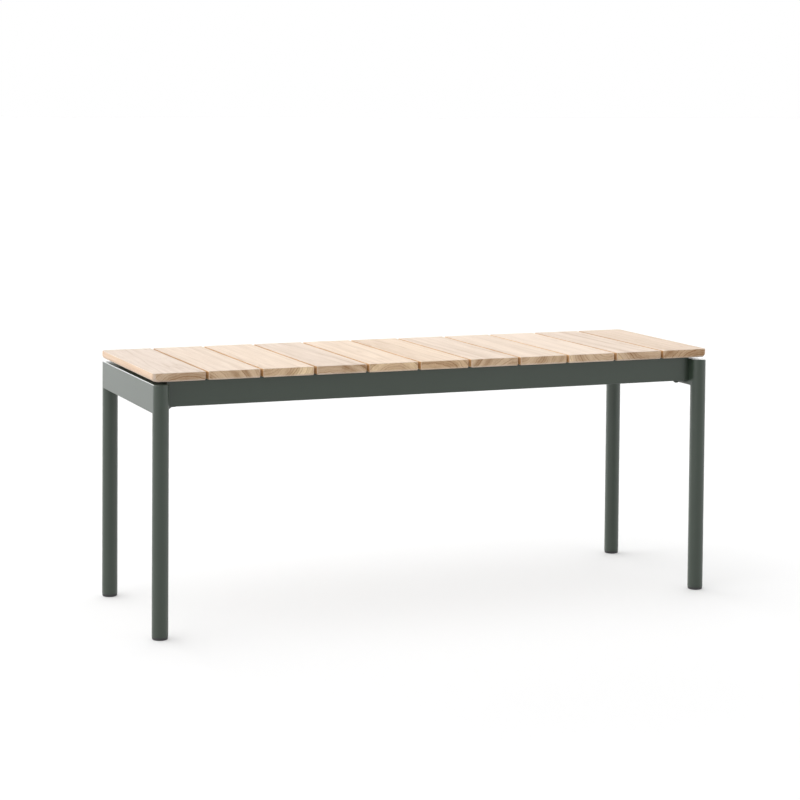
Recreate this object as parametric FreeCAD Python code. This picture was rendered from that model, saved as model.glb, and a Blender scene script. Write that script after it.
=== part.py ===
import FreeCAD, Part
import math
import os

# A backless bench: eleven teak slats lie across two long aluminium tube rails, which are
# bolted between two welded end frames of round legs and a deep end rail.
# Axes: +X along the bench, +Y towards its back, +Z up. Origin on the ground, under the middle.
# Millimetres throughout.

# ---- seat ------------------------------------------------------------------------------
SEAT_HEIGHT = 450.0            # ground to the top of the slats
SLAT_COUNT = 11
SLAT_WIDTH = 92.4              # along X
SLAT_GAP = 5.0
SLAT_LENGTH = 337.0            # along Y, the depth of the seat
SLAT_THICKNESS = 15.0
SLAT_TOP_RADIUS = 1.8          # rounding of the edges round the top face
SLAT_BOTTOM_RADIUS = 2.5       # rounding of the edges round the bottom face
SLAT_CORNER_RADIUS = 2.0       # upright edges at a slat's four corners
SEAT_CORNER_RADIUS = 9.0       # upright edges at the four corners of the whole seat
SEAT_END_BOTTOM_RADIUS = 7.0   # under the outer long edge of the two end slats

# ---- legs and end frames ---------------------------------------------------------------
LEG_DIAMETER = 28.0
LEG_WALL = 2.0
LEG_END_SETBACK = 1.2          # seat end to the outermost line of a leg
LEG_SIDE_PROJECTION = 8.0      # how far a leg stands out past the slat ends
FRAME_TOP_GAP = 4.0            # daylight between the end frames and the slats
END_RAIL_DROP = 8.0            # how far the end rails reach below the long rails
END_RAIL_WALL = 2.5
END_RAIL_RADIUS = 2.0
COPE_TRIM = 3.0                # the end rail's thin cope tips are cut back from the leg's axis
WELD_GAP = 0.1                 # between coped or butted pieces that are welded together

# ---- long rails ------------------------------------------------------------------------
RAIL_WIDTH = 40.0
RAIL_HEIGHT = 45.0
RAIL_WALL = 2.5
RAIL_RADIUS = 1.8
RAIL_SETBACK = 16.5            # slat end to the rail's outer face
RAIL_END_CLEARANCE = 0.5       # rail end to end rail, so that the seat drops in
STRETCHER_WIDTH = 20.0         # along X, the tube that ties the two long rails at mid length
STRETCHER_HEIGHT = 30.0
STRETCHER_WALL = 2.0

# ---- leg caps and foot glides ----------------------------------------------------------
CAP_THICKNESS = 3.0
CAP_EDGE_RADIUS = 1.6
CAP_SPIGOT_LENGTH = 8.0
SPIGOT_CLEARANCE = 0.1         # radial, spigot to the tube's bore
GLIDE_HEIGHT = 5.0             # the part that shows under the tube
GLIDE_INSET = 0.4              # radial, the glide's foot inside the tube's outline
GLIDE_EDGE_RADIUS = 2.0
GLIDE_SPIGOT_LENGTH = 16.0
GLIDE_CORE_DIAMETER = 15.0
GLIDE_CORE_BORE = 10.0
GLIDE_RIB_COUNT = 8
GLIDE_RIB_THICKNESS = 1.6

# ---- corner joints: tab, bolt, washer and nut plate ------------------------------------
TAB_LENGTH = 22.0              # along X, out of the end rail
TAB_WIDTH = 20.0
TAB_THICKNESS = 3.0
TAB_CORNER_RADIUS = 4.0
BOLT_INSET_X = 10.0            # end rail's inner face to the bolt
BOLT_INSET_Y = 12.5            # long rail's inner face to the bolt
BOLT_DIAMETER = 6.0
BOLT_PROTRUSION = 2.9          # past the nut plate
BOLT_HEAD_DIAMETER = 10.5
BOLT_HEAD_HEIGHT = 3.3
BOLT_CLEARANCE = 0.3           # radial, in the tab and in the rail
HEX_ACROSS_FLATS = 4.0
HEX_DEPTH = 2.0
WASHER_DIAMETER = 12.0
WASHER_THICKNESS = 1.6
WASHER_CLEARANCE = 0.2         # radial, washer to the bolt
NUT_PLATE_THICKNESS = 6.0
NUT_PLATE_CLEARANCE = 0.8      # to the rail's inner wall and to its end
THREAD_CLEARANCE = 0.05        # radial, a threaded shank to its tapped or pilot hole

# ---- slat screws -----------------------------------------------------------------------
SCREW_DIAMETER = 4.2
SCREW_COVER = 4.0              # wood left over a screw's point
SCREW_HEAD_DIAMETER = 8.2
SCREW_HEAD_HEIGHT = 3.0
SCREW_CLEARANCE = 0.3          # radial, in the rail's top wall
SCREW_ACCESS_CLEARANCE = 1.4   # radial, round the head, in the rail's bottom wall
SCREW_RECESS_WIDTH = 1.0       # one arm of the cross recess
SCREW_RECESS_SPAN = 4.6
SCREW_RECESS_DEPTH = 1.4
SCREW_TIP_LENGTH = 2.5
SCREW_POINT_DIAMETER = 0.8
PILOT_EXTRA_DEPTH = 0.5
END_SCREW_SHIFT = 20.0         # an end slat's screw sits this much inboard, clear of the joint

# ---- values worked out from the sizes above --------------------------------------------
SLAT_PITCH = SLAT_WIDTH + SLAT_GAP
SEAT_LENGTH = SLAT_COUNT * SLAT_PITCH - SLAT_GAP
SLAT_BOTTOM_Z = SEAT_HEIGHT - SLAT_THICKNESS
LEG_RADIUS = LEG_DIAMETER / 2
LEG_X = SEAT_LENGTH / 2 - LEG_END_SETBACK - LEG_RADIUS
LEG_Y = SLAT_LENGTH / 2 + LEG_SIDE_PROJECTION - LEG_RADIUS
FRAME_TOP_Z = SLAT_BOTTOM_Z - FRAME_TOP_GAP
END_RAIL_INNER_X = LEG_X - LEG_RADIUS
RAIL_OUTER_Y = SLAT_LENGTH / 2 - RAIL_SETBACK
RAIL_INNER_Y = RAIL_OUTER_Y - RAIL_WIDTH
RAIL_CENTRE_Y = RAIL_OUTER_Y - RAIL_WIDTH / 2
RAIL_BOTTOM_Z = SLAT_BOTTOM_Z - RAIL_HEIGHT
END_RAIL_BOTTOM_Z = RAIL_BOTTOM_Z - END_RAIL_DROP
RAIL_LENGTH = 2 * (END_RAIL_INNER_X - RAIL_END_CLEARANCE)
BOLT_X = END_RAIL_INNER_X - BOLT_INSET_X
BOLT_Y = RAIL_INNER_Y + BOLT_INSET_Y
BOLT_HOLE_RADIUS = BOLT_DIAMETER / 2 + BOLT_CLEARANCE
TAB_BOTTOM_Z = RAIL_BOTTOM_Z - TAB_THICKNESS
WASHER_BOTTOM_Z = TAB_BOTTOM_Z - WASHER_THICKNESS
NUT_PLATE_TOP_Z = RAIL_BOTTOM_Z + RAIL_WALL + NUT_PLATE_THICKNESS
SCREW_SEAT_Z = SLAT_BOTTOM_Z - RAIL_WALL
SCREW_TIP_Z = SEAT_HEIGHT - SCREW_COVER

SIDES = (("front", -1), ("back", 1))
ENDS = (("left", -1), ("right", 1))


# ---- shared shapes ---------------------------------------------------------------------
def vec(x, y, z):
    return FreeCAD.Vector(x, y, z)


def box(x0, x1, y0, y1, z0, z1):
    return Part.makeBox(x1 - x0, y1 - y0, z1 - z0, vec(x0, y0, z0))


def upright_cylinder(radius, x, y, z0, z1):
    return Part.makeCylinder(radius, z1 - z0, vec(x, y, z0))


def edges_along(shape, axis):
    """Straight edges of a shape that run along the given unit vector."""
    found = []
    for edge in shape.Edges:
        if edge.Curve.TypeId == "Part::GeomLine" and abs(edge.Curve.Direction.dot(axis)) > 0.999:
            found.append(edge)
    return found


def level_edges(shape, z):
    """Edges of a shape that lie wholly at height z."""
    found = []
    for edge in shape.Edges:
        bounds = edge.BoundBox
        if abs(bounds.ZMin - z) < 0.01 and abs(bounds.ZMax - z) < 0.01:
            found.append(edge)
    return found


def rectangular_tube(x0, x1, y0, y1, z0, z1, wall, radius, axis):
    """Rectangular tube along X or Y, with rounded outer edges and sharper inner ones."""
    outer = box(x0, x1, y0, y1, z0, z1)
    outer = outer.makeFillet(radius, edges_along(outer, axis))
    if abs(axis.x) > 0.5:
        bore = box(x0, x1, y0 + wall, y1 - wall, z0 + wall, z1 - wall)
    else:
        bore = box(x0 + wall, x1 - wall, y0, y1, z0 + wall, z1 - wall)
    bore_radius = min(0.5, radius / 2)
    bore = bore.makeFillet(bore_radius, edges_along(bore, axis))
    return outer.cut(bore)


def save(shape, name):
    shape.exportStep(os.path.join("parts", name + ".step"))


# ---- seat ------------------------------------------------------------------------------
def slat_centre_x(index):
    return (index - (SLAT_COUNT - 1) / 2) * SLAT_PITCH


def slat_screw_x(index):
    """A slat is screwed down at its middle, apart from the two end slats."""
    shift = 0.0
    if index == 0:
        shift = END_SCREW_SHIFT
    if index == SLAT_COUNT - 1:
        shift = -END_SCREW_SHIFT
    return slat_centre_x(index) + shift


def make_slat(index):
    """One teak slat; an end slat has rounder corners and a rounded under-edge outboard."""
    outward = 0
    if index == 0:
        outward = -1
    if index == SLAT_COUNT - 1:
        outward = 1
    centre = slat_centre_x(index)
    x0 = centre - SLAT_WIDTH / 2
    x1 = centre + SLAT_WIDTH / 2
    half_length = SLAT_LENGTH / 2
    slat = box(x0, x1, -half_length, half_length, SLAT_BOTTOM_Z, SEAT_HEIGHT)

    seat_corners = []
    plain_corners = []
    for edge in edges_along(slat, vec(0, 0, 1)):
        if (edge.BoundBox.Center.x - centre) * outward > 0:
            seat_corners.append(edge)
        else:
            plain_corners.append(edge)
    if seat_corners:
        slat = slat.makeFillet(SEAT_CORNER_RADIUS, seat_corners)
        plain_corners = []
        for edge in edges_along(slat, vec(0, 0, 1)):
            if abs(edge.BoundBox.Center.x - (centre - outward * SLAT_WIDTH / 2)) < 0.01:
                plain_corners.append(edge)
    slat = slat.makeFillet(SLAT_CORNER_RADIUS, plain_corners)
    slat = slat.makeFillet(SLAT_TOP_RADIUS, level_edges(slat, SEAT_HEIGHT))
    slat = slat.makeFillet(SLAT_BOTTOM_RADIUS, level_edges(slat, SLAT_BOTTOM_Z))
    if outward:
        slat = slat.cut(end_edge_cutter(outward))

    pilot_radius = SCREW_DIAMETER / 2 + THREAD_CLEARANCE
    pilot_top = SCREW_TIP_Z + PILOT_EXTRA_DEPTH
    for _, side in SIDES:
        pilot = upright_cylinder(
            pilot_radius, slat_screw_x(index), side * RAIL_CENTRE_Y, SLAT_BOTTOM_Z - 1, pilot_top
        )
        slat = slat.cut(pilot)
    return slat


def end_edge_cutter(outward):
    """What a rounding-over bit takes off the outer under-edge of an end slat."""
    radius = SEAT_END_BOTTOM_RADIUS
    half_length = SLAT_LENGTH / 2
    edge_x = outward * SEAT_LENGTH / 2
    axis_x = edge_x - outward * radius
    axis_z = SLAT_BOTTOM_Z + radius
    spare = 1.0
    x0 = min(axis_x, edge_x + outward * spare)
    x1 = max(axis_x, edge_x + outward * spare)
    block = box(x0, x1, -half_length - spare, half_length + spare, SLAT_BOTTOM_Z - spare, axis_z)
    length = SLAT_LENGTH + 4 * spare
    round_bar = Part.makeCylinder(radius, length, vec(axis_x, -length / 2, axis_z), vec(0, 1, 0))
    return block.cut(round_bar)


# ---- end frames ------------------------------------------------------------------------
def make_leg(end, side):
    """Round tube; the foot glide closes it below and the cap closes it on top."""
    x = end * LEG_X
    y = side * LEG_Y
    top = FRAME_TOP_Z - CAP_THICKNESS
    tube = upright_cylinder(LEG_RADIUS, x, y, GLIDE_HEIGHT, top)
    return tube.cut(upright_cylinder(LEG_RADIUS - LEG_WALL, x, y, GLIDE_HEIGHT - 1, top + 1))


def spigot_radius():
    return LEG_RADIUS - LEG_WALL - SPIGOT_CLEARANCE


def make_leg_cap(end, side):
    """Disc with a softened rim, on a short spigot that centres it in the tube."""
    x = end * LEG_X
    y = side * LEG_Y
    seat = FRAME_TOP_Z - CAP_THICKNESS
    disc = upright_cylinder(LEG_RADIUS, x, y, seat, FRAME_TOP_Z)
    disc = disc.makeFillet(CAP_EDGE_RADIUS, level_edges(disc, FRAME_TOP_Z))
    return disc.fuse(upright_cylinder(spigot_radius(), x, y, seat - CAP_SPIGOT_LENGTH, seat))


def make_foot_glide(end, side):
    """Moulded glide: a low foot, and a ribbed hollow spigot pressed into the tube."""
    x = end * LEG_X
    y = side * LEG_Y
    top = GLIDE_HEIGHT + GLIDE_SPIGOT_LENGTH
    core_radius = GLIDE_CORE_DIAMETER / 2
    foot = upright_cylinder(LEG_RADIUS - GLIDE_INSET, x, y, 0, GLIDE_HEIGHT)
    foot = foot.makeFillet(GLIDE_EDGE_RADIUS, level_edges(foot, 0))
    glide = foot.fuse(upright_cylinder(core_radius, x, y, GLIDE_HEIGHT, top))
    envelope = upright_cylinder(spigot_radius(), x, y, GLIDE_HEIGHT, top)
    half_thickness = GLIDE_RIB_THICKNESS / 2
    for rib_index in range(GLIDE_RIB_COUNT // 2):
        rib = box(
            x - LEG_RADIUS, x + LEG_RADIUS, y - half_thickness, y + half_thickness, GLIDE_HEIGHT, top
        )
        rib.rotate(vec(x, y, 0), vec(0, 0, 1), rib_index * 360 / GLIDE_RIB_COUNT)
        glide = glide.fuse(rib.common(envelope))
    bore = upright_cylinder(GLIDE_CORE_BORE / 2, x, y, GLIDE_HEIGHT, top + 1)
    return glide.cut(bore).removeSplitter()


def make_end_rail(end):
    """Deep tube, as wide as the legs, coped to both of them."""
    half_length = LEG_Y - COPE_TRIM
    x0 = end * LEG_X - LEG_RADIUS
    x1 = end * LEG_X + LEG_RADIUS
    rail = rectangular_tube(
        x0, x1, -half_length, half_length, END_RAIL_BOTTOM_Z, FRAME_TOP_Z,
        END_RAIL_WALL, END_RAIL_RADIUS, vec(0, 1, 0)
    )
    for _, side in SIDES:
        cope = upright_cylinder(
            LEG_RADIUS + WELD_GAP, end * LEG_X, side * LEG_Y, END_RAIL_BOTTOM_Z - 1, FRAME_TOP_Z + 1
        )
        rail = rail.cut(cope)
    return rail


def make_support_tab(end, side):
    """Plate welded to the end rail, low enough for a long rail to rest on it."""
    x_inner = end * (END_RAIL_INNER_X - TAB_LENGTH)
    x_weld = end * (END_RAIL_INNER_X - WELD_GAP)
    x0 = min(x_inner, x_weld)
    x1 = max(x_inner, x_weld)
    y = side * BOLT_Y
    tab = box(x0, x1, y - TAB_WIDTH / 2, y + TAB_WIDTH / 2, TAB_BOTTOM_Z, RAIL_BOTTOM_Z)
    free_corners = []
    for edge in edges_along(tab, vec(0, 0, 1)):
        if abs(edge.BoundBox.Center.x - x_inner) < 0.01:
            free_corners.append(edge)
    tab = tab.makeFillet(TAB_CORNER_RADIUS, free_corners)
    return tab.cut(
        upright_cylinder(BOLT_HOLE_RADIUS, end * BOLT_X, y, TAB_BOTTOM_Z - 1, RAIL_BOTTOM_Z + 1)
    )


# ---- long rails ------------------------------------------------------------------------
def make_long_rail(side):
    """Tube under the slats, drilled for the slat screws and for the corner bolts."""
    half_length = RAIL_LENGTH / 2
    y0 = min(side * RAIL_OUTER_Y, side * RAIL_INNER_Y)
    y1 = max(side * RAIL_OUTER_Y, side * RAIL_INNER_Y)
    rail = rectangular_tube(
        -half_length, half_length, y0, y1, RAIL_BOTTOM_Z, SLAT_BOTTOM_Z,
        RAIL_WALL, RAIL_RADIUS, vec(1, 0, 0)
    )
    middle_z = RAIL_BOTTOM_Z + RAIL_HEIGHT / 2
    screw_hole_radius = SCREW_DIAMETER / 2 + SCREW_CLEARANCE
    access_radius = SCREW_HEAD_DIAMETER / 2 + SCREW_ACCESS_CLEARANCE
    holes = []
    for index in range(SLAT_COUNT):
        x = slat_screw_x(index)
        y = side * RAIL_CENTRE_Y
        holes.append(upright_cylinder(screw_hole_radius, x, y, middle_z, SLAT_BOTTOM_Z + 1))
        holes.append(upright_cylinder(access_radius, x, y, RAIL_BOTTOM_Z - 1, middle_z))
    for _, end in ENDS:
        x = end * BOLT_X
        y = side * BOLT_Y
        holes.append(upright_cylinder(BOLT_HOLE_RADIUS, x, y, RAIL_BOTTOM_Z - 1, middle_z))
    return rail.cut(Part.makeCompound(holes))


def make_cross_stretcher():
    """Tube welded between the long rails at mid length, just under the middle slat."""
    half_length = RAIL_INNER_Y - WELD_GAP
    return rectangular_tube(
        -STRETCHER_WIDTH / 2, STRETCHER_WIDTH / 2, -half_length, half_length,
        SLAT_BOTTOM_Z - STRETCHER_HEIGHT, SLAT_BOTTOM_Z, STRETCHER_WALL, RAIL_RADIUS, vec(0, 1, 0)
    )


# ---- fasteners -------------------------------------------------------------------------
def joint_places():
    places = []
    for _, end in ENDS:
        for _, side in SIDES:
            places.append((end * BOLT_X, side * BOLT_Y))
    return places


def make_joint_bolts():
    """Button-head hexagon-socket bolts, heads down, one at each corner joint."""
    head_radius = BOLT_HEAD_DIAMETER / 2
    ball_radius = (head_radius ** 2 + BOLT_HEAD_HEIGHT ** 2) / (2 * BOLT_HEAD_HEIGHT)
    hex_radius = HEX_ACROSS_FLATS / math.sqrt(3)
    bolts = []
    for x, y in joint_places():
        seat = WASHER_BOTTOM_Z
        tip = seat - BOLT_HEAD_HEIGHT
        ball = Part.makeSphere(ball_radius, vec(x, y, tip + ball_radius))
        head = upright_cylinder(head_radius, x, y, tip, seat).common(ball)
        corners = []
        for step in range(7):
            angle = step * math.pi / 3
            corner = vec(x + hex_radius * math.cos(angle), y + hex_radius * math.sin(angle), tip - 1)
            corners.append(corner)
        socket = Part.Face(Part.makePolygon(corners)).extrude(vec(0, 0, HEX_DEPTH + 1))
        shank = upright_cylinder(BOLT_DIAMETER / 2, x, y, seat, NUT_PLATE_TOP_Z + BOLT_PROTRUSION)
        bolts.append(head.cut(socket).fuse(shank))
    return Part.makeCompound(bolts)


def make_joint_washers():
    bore_radius = BOLT_DIAMETER / 2 + WASHER_CLEARANCE
    washers = []
    for x, y in joint_places():
        washer = upright_cylinder(WASHER_DIAMETER / 2, x, y, WASHER_BOTTOM_Z, TAB_BOTTOM_Z)
        bore = upright_cylinder(bore_radius, x, y, WASHER_BOTTOM_Z - 1, TAB_BOTTOM_Z + 1)
        washers.append(washer.cut(bore))
    return Part.makeCompound(washers)


def make_nut_plates():
    """Tapped plates, one welded to the bottom wall inside each end of the long rails."""
    bottom = RAIL_BOTTOM_Z + RAIL_WALL
    half_x = BOLT_INSET_X - RAIL_END_CLEARANCE - NUT_PLATE_CLEARANCE
    half_y = BOLT_INSET_Y - RAIL_WALL - NUT_PLATE_CLEARANCE
    tapped_radius = BOLT_DIAMETER / 2 + THREAD_CLEARANCE
    plates = []
    for x, y in joint_places():
        plate = box(x - half_x, x + half_x, y - half_y, y + half_y, bottom, NUT_PLATE_TOP_Z)
        tapped = upright_cylinder(tapped_radius, x, y, bottom - 1, NUT_PLATE_TOP_Z + 1)
        plates.append(plate.cut(tapped))
    return Part.makeCompound(plates)


def make_slat_screws():
    """Pan-head wood screws, driven upwards from inside the long rails into the slats."""
    head_radius = SCREW_HEAD_DIAMETER / 2
    half_width = SCREW_RECESS_WIDTH / 2
    half_span = SCREW_RECESS_SPAN / 2
    seat = SCREW_SEAT_Z
    head_bottom = seat - SCREW_HEAD_HEIGHT
    point_z = SCREW_TIP_Z - SCREW_TIP_LENGTH
    screws = []
    for index in range(SLAT_COUNT):
        for _, side in SIDES:
            x = slat_screw_x(index)
            y = side * RAIL_CENTRE_Y
            head = upright_cylinder(head_radius, x, y, head_bottom, seat)
            head = head.makeFillet(SCREW_HEAD_HEIGHT / 2, level_edges(head, head_bottom))
            recess_top = head_bottom + SCREW_RECESS_DEPTH
            arm_x = box(x - half_span, x + half_span, y - half_width, y + half_width,
                        head_bottom - 1, recess_top)
            arm_y = box(x - half_width, x + half_width, y - half_span, y + half_span,
                        head_bottom - 1, recess_top)
            head = head.cut(arm_x).cut(arm_y)
            shank = upright_cylinder(SCREW_DIAMETER / 2, x, y, seat, point_z)
            point = Part.makeCone(
                SCREW_DIAMETER / 2, SCREW_POINT_DIAMETER / 2, SCREW_TIP_LENGTH, vec(x, y, point_z)
            )
            screws.append(head.fuse(shank).fuse(point))
    return Part.makeCompound(screws)


# ---- write every piece -----------------------------------------------------------------
def main():
    os.makedirs("parts", exist_ok=True)
    for index in range(SLAT_COUNT):
        save(make_slat(index), "slat_%02d" % (index + 1))
    for side_name, side in SIDES:
        save(make_long_rail(side), "long_rail_" + side_name)
        for end_name, end in ENDS:
            corner_name = side_name + "_" + end_name
            save(make_leg(end, side), "leg_" + corner_name)
            save(make_leg_cap(end, side), "leg_cap_" + corner_name)
            save(make_foot_glide(end, side), "foot_glide_" + corner_name)
            save(make_support_tab(end, side), "support_tab_" + corner_name)
    for end_name, end in ENDS:
        save(make_end_rail(end), "end_rail_" + end_name)
    save(make_cross_stretcher(), "cross_stretcher")
    save(make_joint_bolts(), "joint_bolts")
    save(make_joint_washers(), "joint_washers")
    save(make_nut_plates(), "nut_plates")
    save(make_slat_screws(), "slat_screws")


main()
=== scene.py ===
import math

import bmesh
import bpy
import numpy as np
from bpy.props import FloatProperty, FloatVectorProperty, IntProperty, PointerProperty
from mathutils import Matrix, Vector


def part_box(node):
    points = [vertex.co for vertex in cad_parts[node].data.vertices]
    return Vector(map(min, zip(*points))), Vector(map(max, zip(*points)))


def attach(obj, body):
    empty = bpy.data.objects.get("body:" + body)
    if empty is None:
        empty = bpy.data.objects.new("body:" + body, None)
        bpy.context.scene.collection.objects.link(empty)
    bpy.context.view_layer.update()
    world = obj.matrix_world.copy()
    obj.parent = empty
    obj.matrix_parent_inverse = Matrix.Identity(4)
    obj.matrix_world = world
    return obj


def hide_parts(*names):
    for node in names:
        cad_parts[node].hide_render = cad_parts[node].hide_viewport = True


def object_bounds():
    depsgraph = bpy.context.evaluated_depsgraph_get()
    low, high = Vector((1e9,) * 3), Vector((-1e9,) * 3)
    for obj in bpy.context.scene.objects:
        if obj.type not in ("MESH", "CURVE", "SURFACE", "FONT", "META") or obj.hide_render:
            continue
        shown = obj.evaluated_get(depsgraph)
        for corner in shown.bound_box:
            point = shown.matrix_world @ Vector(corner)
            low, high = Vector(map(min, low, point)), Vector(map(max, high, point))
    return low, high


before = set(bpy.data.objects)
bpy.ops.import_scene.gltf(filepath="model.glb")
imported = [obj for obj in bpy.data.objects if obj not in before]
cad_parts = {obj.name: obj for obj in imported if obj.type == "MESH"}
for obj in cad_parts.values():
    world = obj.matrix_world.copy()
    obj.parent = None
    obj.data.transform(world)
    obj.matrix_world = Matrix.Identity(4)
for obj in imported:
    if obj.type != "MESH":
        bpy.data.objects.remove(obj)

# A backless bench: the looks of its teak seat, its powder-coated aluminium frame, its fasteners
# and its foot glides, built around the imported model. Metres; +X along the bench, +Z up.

bl_info = {
    "name": "Backless bench",
    "version": (1, 0, 0),
    "blender": (4, 5, 0),
    "location": "3D View > Sidebar > Bench",
    "description": "Builds a backless bench with a slatted teak seat on a powder-coated frame",
    "category": "Object",
}

MM = 0.001
MERGE_DISTANCE = 0.001 * MM
SPIGOT_GAP = 0.1 * MM
BODY = "root"
COATED_TUBE = "powder_coated_aluminium"
CAD_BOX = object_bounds()
SIDES = ("front", "back")
ENDS = ("left", "right")
SLAT_NODES = sorted(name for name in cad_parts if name[:5] == "slat_" and name[5:].isdigit())


def node_size(node):
    """Width, depth and height of a CAD node."""
    low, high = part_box(node)
    return high - low


def node_centre(node):
    low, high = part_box(node)
    return (low + high) / 2


def corner_nodes(kind):
    """The four nodes of one kind that stand at the bench's corners."""
    return [f"{kind}_{side}_{end}" for side in SIDES for end in ENDS]


SLAT_PITCH = node_centre(SLAT_NODES[1]).x - node_centre(SLAT_NODES[0]).x
SLAT_SIZE = node_size(SLAT_NODES[0])
SLAT_CENTRE = node_centre(SLAT_NODES[0])
SLAT_UNDERSIDE = SLAT_CENTRE.z - SLAT_SIZE.z / 2
LEG_CENTRE = node_centre("leg_back_right")
LEG_SIZE = node_size("leg_back_right")


# ---- nodes the trees use most ----
MATH, VECTOR_MATH, SPLIT = "ShaderNodeMath", "ShaderNodeVectorMath", "ShaderNodeSeparateXYZ"
MAP_RANGE, RAMP, MIX = "ShaderNodeMapRange", "ShaderNodeValToRGB", "ShaderNodeMix"
# Sockets of a Mix node that mixes colours.
MIX_FACTOR, MIX_A, MIX_B, MIX_RESULT = 0, 6, 7, 2


# ---- colours and nodes ----
def linear(code):
    """An sRGB hex colour as the linear red, green and blue that shaders take."""
    values = []
    for start in (1, 3, 5):
        value = int(code[start:start + 2], 16) / 255
        values.append(value / 12.92 if value <= 0.04045 else ((value + 0.055) / 1.055) ** 2.4)
    return tuple(values)


def add_node(tree, kind, inputs=None, output=0, **settings):
    """Adds a node and returns one of its outputs.

    A value in inputs that is a socket is linked, and any other is set.
    """
    node = tree.nodes.new(kind)
    node.location = (180 * len(tree.nodes), 0)
    for name, value in settings.items():
        setattr(node, name, value)
    for key, value in (inputs or {}).items():
        if isinstance(value, bpy.types.NodeSocket):
            tree.links.new(value, node.inputs[key])
        else:
            node.inputs[key].default_value = value
    return node.outputs[output] if len(node.outputs) else node


def set_ramp(output, stops):
    """Gives the colour ramp of an output its stops, each a place and a grey level."""
    elements = output.node.color_ramp.elements
    while len(elements) < len(stops):
        elements.new(0.5)
    for element, (place, level) in zip(elements, stops):
        element.position = place
        element.color = (level, level, level, 1)


def grown_grains(tree, sizes, place=None):
    """One noise for each named grain size, in metres along X, Y and Z.

    They lie on object coordinates unless a place is given.
    """
    place = place or add_node(tree, "ShaderNodeTexCoord", output="Object")
    grains = {}
    for name, size in sizes.items():
        scale = tuple(1 / length for length in size)
        spread = add_node(tree, VECTOR_MATH, {0: place, 1: scale}, operation="MULTIPLY")
        grains[name] = add_node(tree, "ShaderNodeTexNoise", {"Vector": spread, "Scale": 1.0})
    return grains


def material_from(name, build, settings):
    """The material of that name, built the first time it is asked for.

    The build function fills the material's tree and returns the shader's output.
    """
    material = bpy.data.materials.get(name)
    if material is None:
        material = bpy.data.materials.new(name)
        material.use_nodes = True
        tree = material.node_tree
        tree.nodes.clear()
        add_node(tree, "ShaderNodeOutputMaterial", {"Surface": build(tree, settings)})
    return material


# ---- settings ----
class BenchSeatSettings(bpy.types.PropertyGroup):
    """Sizes and colours of the slatted seat."""

    slat_count: IntProperty(
        name="Slats", description="Number of slats", default=len(SLAT_NODES), min=3
    )
    slat_pitch: FloatProperty(
        name="Pitch", description="Distance from slat to slat", default=SLAT_PITCH, unit="LENGTH"
    )
    slat_size: FloatVectorProperty(
        name="Slat size", description="Width, length and thickness of a slat",
        default=SLAT_SIZE, subtype="XYZ_LENGTH"
    )
    top_radius: FloatProperty(
        name="Top edge radius", description="Rounding of the edges round the top face",
        default=1.3 * MM, unit="LENGTH"
    )
    bottom_radius: FloatProperty(
        name="Bottom edge radius", description="Rounding of the edges round the bottom face",
        default=2.5 * MM, unit="LENGTH"
    )
    corner_radius: FloatProperty(
        name="Slat corner radius", description="Rounding of a slat's upright corners",
        default=2.6 * MM, unit="LENGTH"
    )
    seat_corner_radius: FloatProperty(
        name="Seat corner radius", description="Rounding of the seat's four upright corners",
        default=9.0 * MM, unit="LENGTH"
    )
    seat_end_radius: FloatProperty(
        name="Seat end radius", description="Rounding under the outer edge of the end slats",
        default=7.0 * MM, unit="LENGTH"
    )
    ring_spacing: FloatProperty(
        name="Ring spacing", description="Width of one year's growth",
        default=4.6 * MM, unit="LENGTH"
    )
    teak_rosy: FloatVectorProperty(
        name="Rosy teak", description="Pale wood of the pinkest board",
        default=linear("#bfb0a3"), subtype="COLOR"
    )
    teak_golden: FloatVectorProperty(
        name="Golden teak", description="Pale wood of the most golden board",
        default=linear("#cbb69f"), subtype="COLOR"
    )
    teak_dark: FloatVectorProperty(
        name="Dark teak", description="Colour of the growth lines and pores",
        default=linear("#86684b"), subtype="COLOR"
    )
    end_tint: FloatVectorProperty(
        name="End grain", description="Tint of the boards' ends",
        default=linear("#fff5e3"), subtype="COLOR"
    )
    sapwood: FloatVectorProperty(
        name="Sapwood", description="Wood from under the bark, in the corners of some boards",
        default=linear("#dfcfb8"), subtype="COLOR"
    )
    # Painted shade for the gaps between the boards: it deepens their long edges to orange.
    gap_shade_colour: FloatVectorProperty(
        name="Painted gap shade", description="Painted shade on the boards' long edges, where they face into the gaps",
        default=linear("#f9daab"), subtype="COLOR"
    )


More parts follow.
